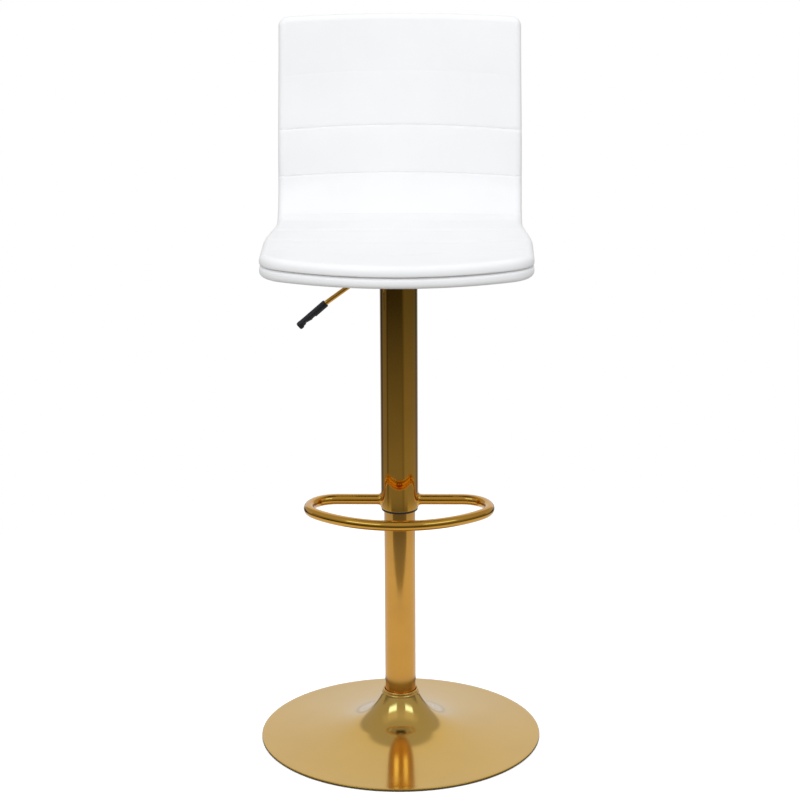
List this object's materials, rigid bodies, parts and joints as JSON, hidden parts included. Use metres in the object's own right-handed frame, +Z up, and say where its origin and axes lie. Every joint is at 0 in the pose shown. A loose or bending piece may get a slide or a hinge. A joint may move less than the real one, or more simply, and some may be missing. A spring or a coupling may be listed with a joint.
{
  "type": "bar stool with footrest",
  "caption": "Swivelling bar stool with an upholstered L-shaped seat and back, a gas-lift column, a D-shaped footrest and a round trumpet base.",
  "frame": {"origin": "on the floor under the axis of the column, at the middle of the round base", "axes": "+Z up along the column, the sitter faces -Y, +X is to the right when the stool is seen from the front; the release lever is on the -X side"},
  "size_m": [0.438, 0.4382, 1.1134],
  "materials": {
    "gold_satin": "satin",
    "gold_column": "gloss",
    "gold_polished": "polished",
    "white_vinyl": "satin",
    "black_plastic": "satin",
    "black_rubber": "matte",
    "nylon": "satin",
    "zinc_steel": "satin",
    "black_steel": "satin",
    "plywood": "matte"
  },
  "bodies": {
    "base": {"base_dome": "gold_satin", "floor_ring": "black_rubber", "base_stiffener_plate": "black_steel", "base_hub": "black_steel", "column_tube": "gold_column", "column_guide_bush": "nylon", "lower_thrust_washer": "zinc_steel", "thrust_ball_cage": "zinc_steel"},
    "piston": {"piston_rod": "zinc_steel", "upper_thrust_washer": "zinc_steel", "rod_retaining_clip": "zinc_steel", "bump_stop": "black_rubber"},
    "seat": {"gas_cylinder": "black_steel", "footrest_sleeve": "gold_polished", "sleeve_bottom_bush": "black_plastic", "sleeve_top_cap": "black_plastic", "footrest_ring": "gold_polished", "footrest_weld_left": "gold_polished", "footrest_weld_right": "gold_polished", "seat_socket": "black_steel", "seat_plate": "black_steel", "lever_bracket": "black_steel", "lever_pivot_pin": "zinc_steel", "seat_bolt_1": "zinc_steel", "seat_bolt_2": "zinc_steel", "seat_bolt_3": "zinc_steel", "seat_bolt_4": "zinc_steel", "bolt_washer_1": "zinc_steel", "bolt_washer_2": "zinc_steel", "bolt_washer_3": "zinc_steel", "bolt_washer_4": "zinc_steel", "tee_nut_1": "zinc_steel", "tee_nut_2": "zinc_steel", "tee_nut_3": "zinc_steel", "tee_nut_4": "zinc_steel", "seat_shell": "plywood", "rear_cover": "white_vinyl", "front_cushion": "white_vinyl"},
    "lever": {"lever_rod": "gold_polished", "lever_grip": "black_plastic"},
    "valve": {"valve_button": "zinc_steel"}
  },
  "joints": [
    {"name": "seat_swivel", "type": "hinge", "parent": "base", "child": "piston", "pos_m": [0, 0, 0], "axis": [0, 0, 1], "continuous": true},
    {"name": "height_slide", "type": "slide", "parent": "piston", "child": "seat", "axis": [0, 0, 1], "range_m": [-0.21, 0]},
    {"name": "lever_lift", "type": "hinge", "parent": "seat", "child": "lever", "pos_m": [-0.03, 0, 0.76], "axis": [0, 1, 0], "range_deg": [0, 7], "stiffness_Nm_per_rad": 6, "springref_deg": -2.86},
    {"name": "valve_press", "type": "slide", "parent": "seat", "child": "valve", "axis": [0, 0, -1], "range_m": [0, 0.005], "stiffness_N_per_m": 600, "springref_m": -0.001}
  ],
  "couplings": [
    {"joint": "valve_press", "follows": "lever_lift", "m_per_rad": 0.04}
  ]
}
